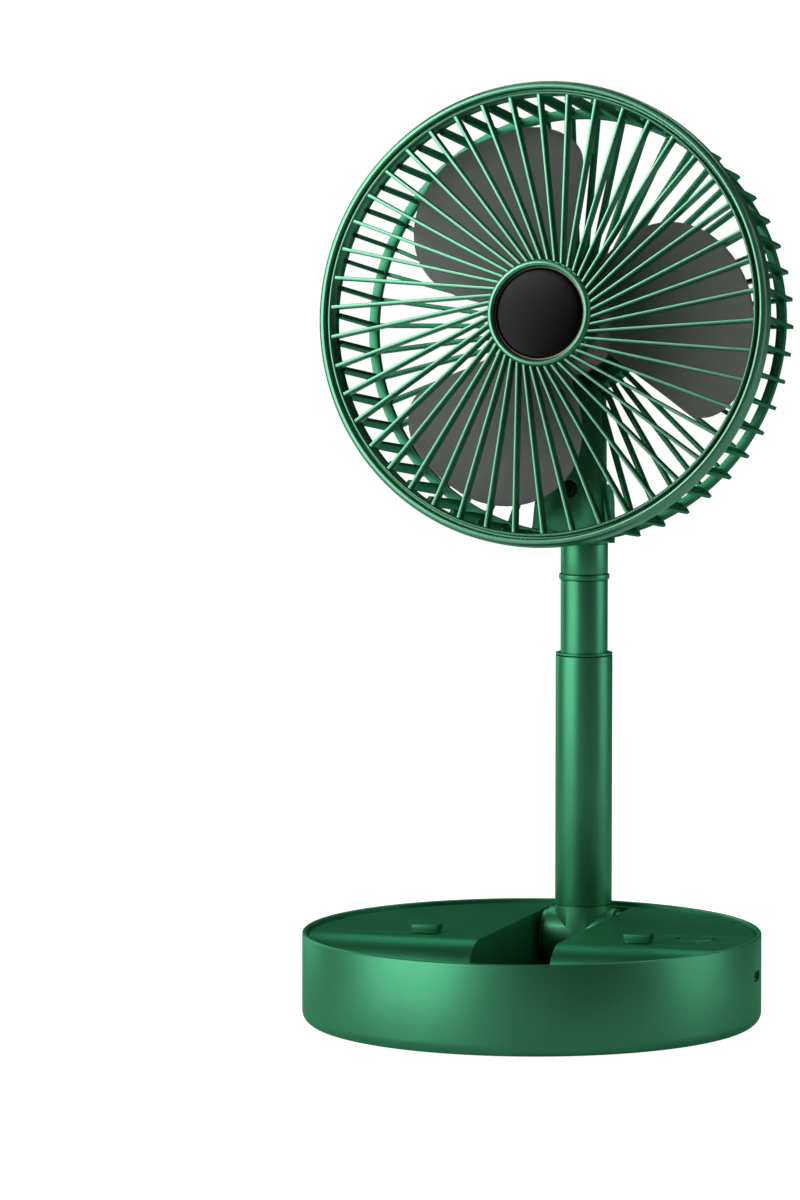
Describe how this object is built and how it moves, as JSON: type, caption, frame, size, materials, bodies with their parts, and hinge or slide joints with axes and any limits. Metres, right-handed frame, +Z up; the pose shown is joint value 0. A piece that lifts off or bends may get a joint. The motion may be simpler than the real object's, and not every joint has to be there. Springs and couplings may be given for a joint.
{
  "type": "desk fan",
  "caption": "Folding desk fan with a round drum base, a telescopic pole that folds at its foot, a tilting caged head and a broad-bladed impeller.",
  "frame": {"origin": "centre of the round base on the surface it stands on", "axes": "+Z up, the fan faces -Y, +X to the right seen from the front"},
  "size_m": [0.1744, 0.172, 0.3513],
  "materials": {
    "green_shell": "satin, slightly metallic green",
    "green_tube": "satin green tube",
    "green_trim": "satin green moulding",
    "impeller_grey": "matte dark grey",
    "badge_black": "gloss black disc, blank",
    "rubber": "matte",
    "steel": "bright steel",
    "bush_polymer": "natural polymer",
    "board": "circuit board",
    "cell_wrap": "shrink wrap, blank",
    "light_pipe": "clear moulding",
    "copper": "enamelled wire"
  },
  "bodies": {
    "base": {"base_shell": "green_shell", "deck_plate": "green_shell", "button_bezel": "green_trim", "led_light_pipe_1": "light_pipe", "led_light_pipe_2": "light_pipe", "led_light_pipe_3": "light_pipe", "led_light_pipe_4": "light_pipe", "control_board": "board", "charge_port": "steel", "battery_cell_left": "cell_wrap", "battery_cell_right": "cell_wrap", "battery_cradle": "bush_polymer", "fold_bush_left": "green_shell", "fold_bush_right": "green_shell", "fold_pin": "steel", "rubber_foot_1": "rubber", "rubber_foot_2": "rubber", "rubber_foot_3": "rubber", "rubber_foot_4": "rubber", "case_screw_1": "steel", "case_screw_2": "steel", "case_screw_3": "steel", "case_screw_4": "steel"},
    "button": {"power_button": "green_trim"},
    "pole": {"pole_foot": "green_shell", "outer_tube": "green_tube", "guide_bush": "green_shell"},
    "inner_pole": {"inner_tube": "green_tube", "slide_bush": "bush_polymer", "neck_ring": "green_trim", "neck_clevis": "green_shell"},
    "hinge_pin": {"tilt_pin": "steel", "friction_washer_left": "bush_polymer", "friction_washer_right": "bush_polymer"},
    "head": {"front_grille": "green_trim", "hub_badge": "badge_black", "rear_grille": "green_shell", "motor_cover": "green_shell", "motor_stator": "copper", "motor_bearing_rear": "steel", "motor_bearing_front": "steel", "hinge_bracket": "green_shell", "arm_screw": "steel"},
    "rotor": {"impeller": "impeller_grey", "rotor_can": "steel", "motor_shaft": "steel", "shaft_nut": "steel"}
  },
  "joints": [
    {"name": "button_press", "type": "slide", "parent": "base", "child": "button", "axis": [0, 0, -1], "range_m": [0, 0.0008], "stiffness_N_per_m": 800},
    {"name": "pole_fold", "type": "hinge", "parent": "base", "child": "pole", "pos_m": [0, 0.0678, 0.023], "axis": [1, 0, 0], "range_deg": [0, 78]},
    {"name": "pole_extend", "type": "slide", "parent": "pole", "child": "inner_pole", "axis": [0, 0, 1], "range_m": [-0.0275, 0]},
    {"name": "head_fold", "type": "hinge", "parent": "inner_pole", "child": "hinge_pin", "pos_m": [0, 0.0678, 0.188], "axis": [-1, 0, 0], "range_deg": [0, 78]},
    {"name": "head_tilt", "type": "hinge", "parent": "hinge_pin", "child": "head", "pos_m": [0, 0.0678, 0.188], "axis": [-1, 0, 0], "range_deg": [-5, 80]},
    {"name": "fan_spin", "type": "hinge", "parent": "head", "child": "rotor", "pos_m": [0, 0.0088, 0.2652], "axis": [0, -0.9888, 0.1495], "continuous": true}
  ],
  "couplings": [
    {"joint": "head_fold", "follows": "pole_fold", "ratio": 1}
  ]
}
